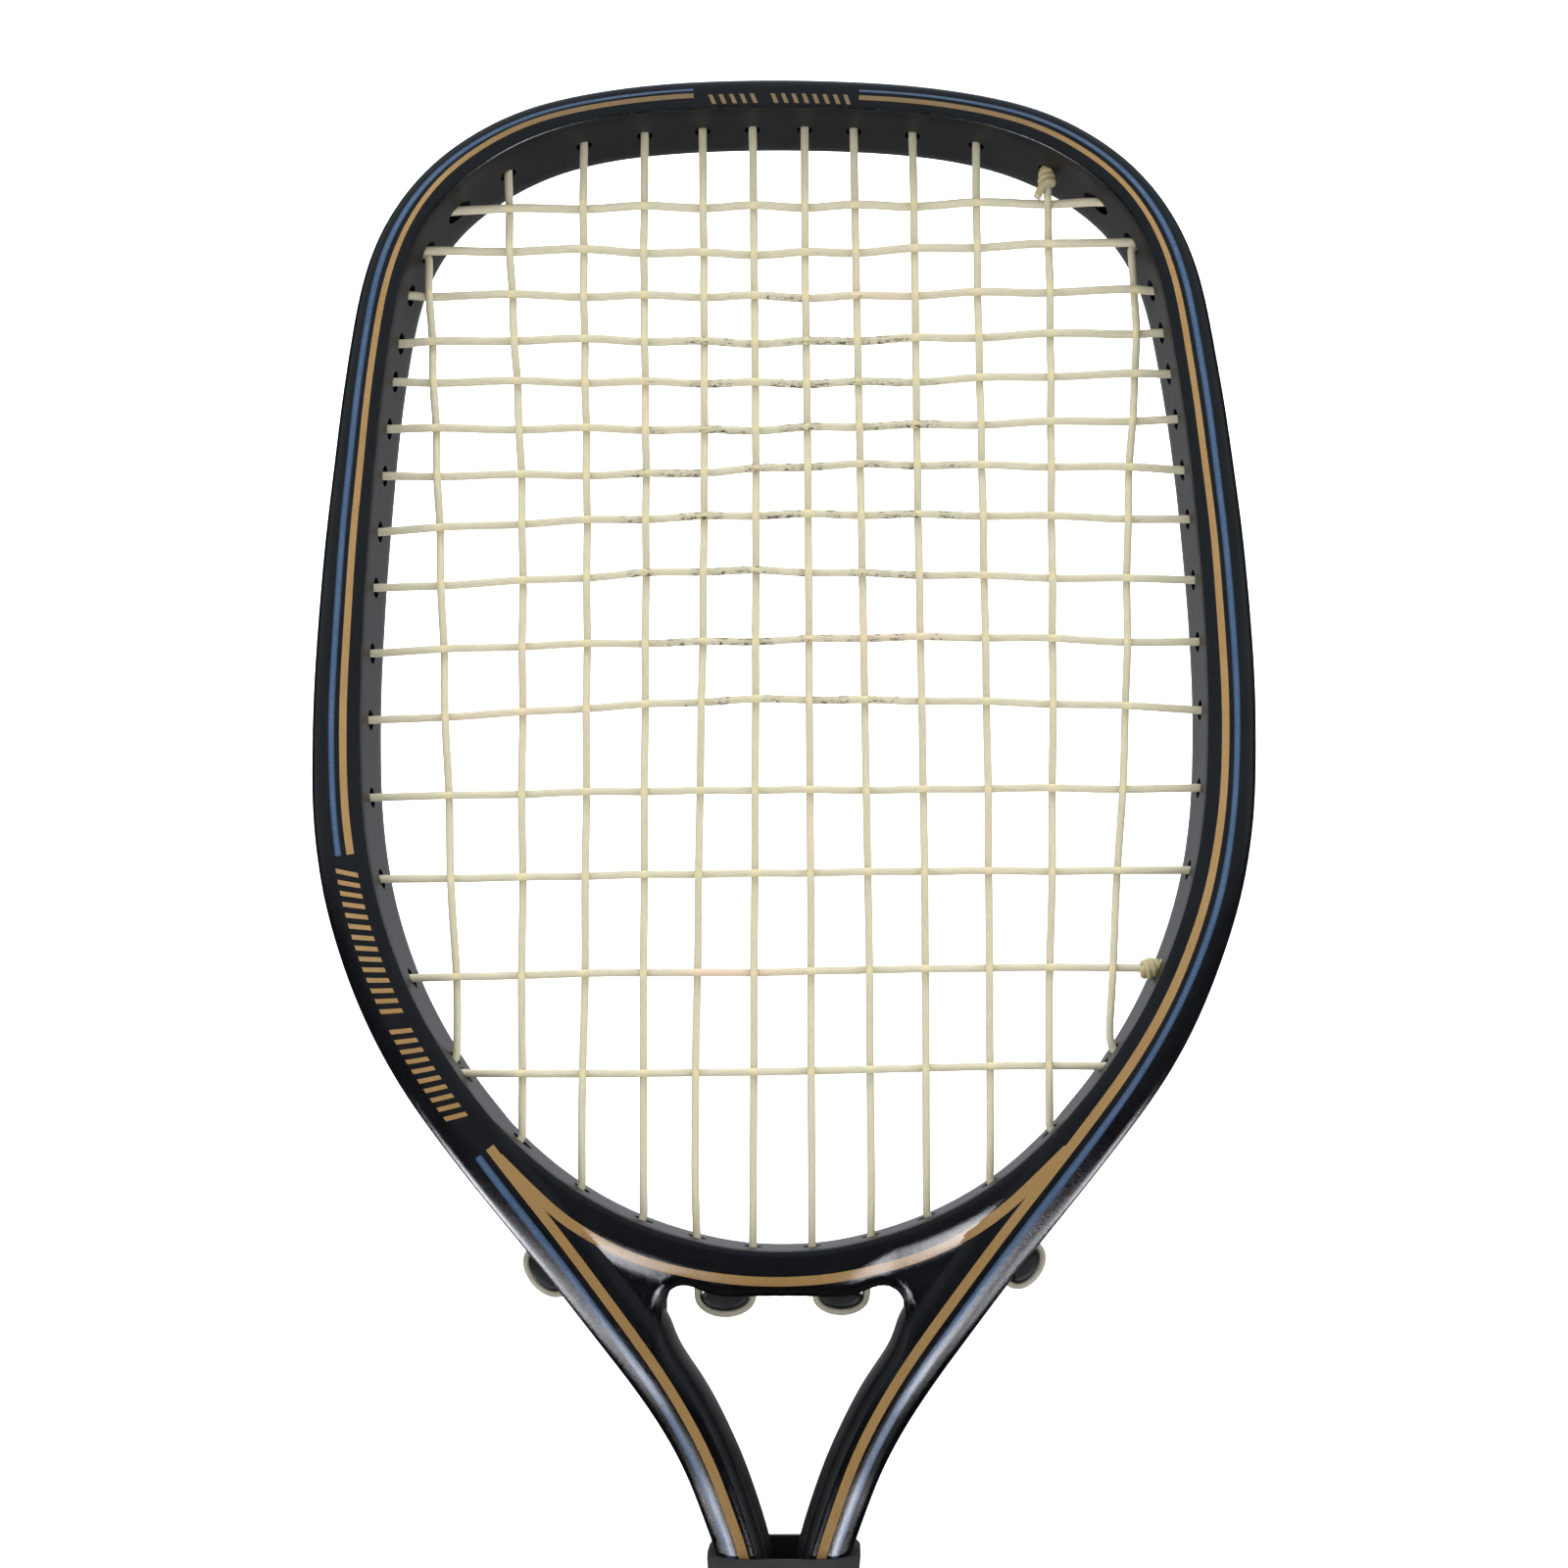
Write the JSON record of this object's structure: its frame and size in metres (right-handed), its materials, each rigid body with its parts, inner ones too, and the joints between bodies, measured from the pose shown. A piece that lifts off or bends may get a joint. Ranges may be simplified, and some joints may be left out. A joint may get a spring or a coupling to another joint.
{
  "type": "racket",
  "caption": "Strung court racket with a squared hoop, short converging throat, woven string bed, leather grip and a wrist cord with a sliding toggle.",
  "frame": {"origin": "on the butt cap's flat rim, the face the racket stands on: the middle of the rim's band on the -Y side, 13.3 mm in front of the string plane, in the plane X = 0", "axes": "+Z along the length from the butt to the tip of the head, +X to the right, playing face towards -Y; the strings lie in the plane Y = +13.3 mm"},
  "size_m": [0.2662, 0.0568, 0.47],
  "materials": {
    "gloss_black_lacquer": "gloss lacquer over graphite",
    "nylon_string": "translucent cream nylon, scuffed",
    "black_nylon": "satin moulded nylon",
    "foam": "cut rigid foam",
    "spacer_wood": "raw",
    "pallet_plastic": "rigid foamed plastic",
    "grip_leather": "perforated leather wrap",
    "tape": "vinyl tape",
    "collar_rubber": "ribbed rubber",
    "cap_plastic": "moulded, satin",
    "tack_steel": "plated",
    "washer_steel": "plated",
    "cord_nylon": "braided",
    "toggle_plastic": "moulded"
  },
  "bodies": {
    "racket": {"graphite_frame": "gloss_black_lacquer", "throat_bridge": "gloss_black_lacquer", "string": "nylon_string", "grommet_strip_top": "black_nylon", "grommet_strip_left": "black_nylon", "grommet_strip_right": "black_nylon", "saddle_shoulder_left": "black_nylon", "saddle_bridge_left": "black_nylon", "saddle_bridge_right": "black_nylon", "saddle_shoulder_right": "black_nylon", "shaft_foam_right": "foam", "shaft_foam_left": "foam", "leg_spacer": "spacer_wood", "handle_pallet_front": "pallet_plastic", "handle_pallet_back": "pallet_plastic", "grip_wrap": "grip_leather", "finishing_tape": "tape", "grip_collar": "collar_rubber", "butt_cap": "cap_plastic", "butt_tack_front": "tack_steel", "butt_tack_back": "tack_steel", "cord_washer": "washer_steel", "cord_anchor": "cord_nylon"},
    "wrist_loop": {"wrist_cord": "cord_nylon"},
    "toggle": {"cord_toggle": "toggle_plastic"}
  },
  "joints": [
    {"name": "cord_lift", "type": "hinge", "parent": "racket", "child": "wrist_loop", "pos_m": [0.0215, 0.0133, 0.0026], "axis": [0, -1, 0], "range_deg": [0, 80]},
    {"name": "toggle_slide", "type": "slide", "parent": "wrist_loop", "child": "toggle", "axis": [1, 0, 0], "range_m": [-0.012, 0.018]}
  ]
}
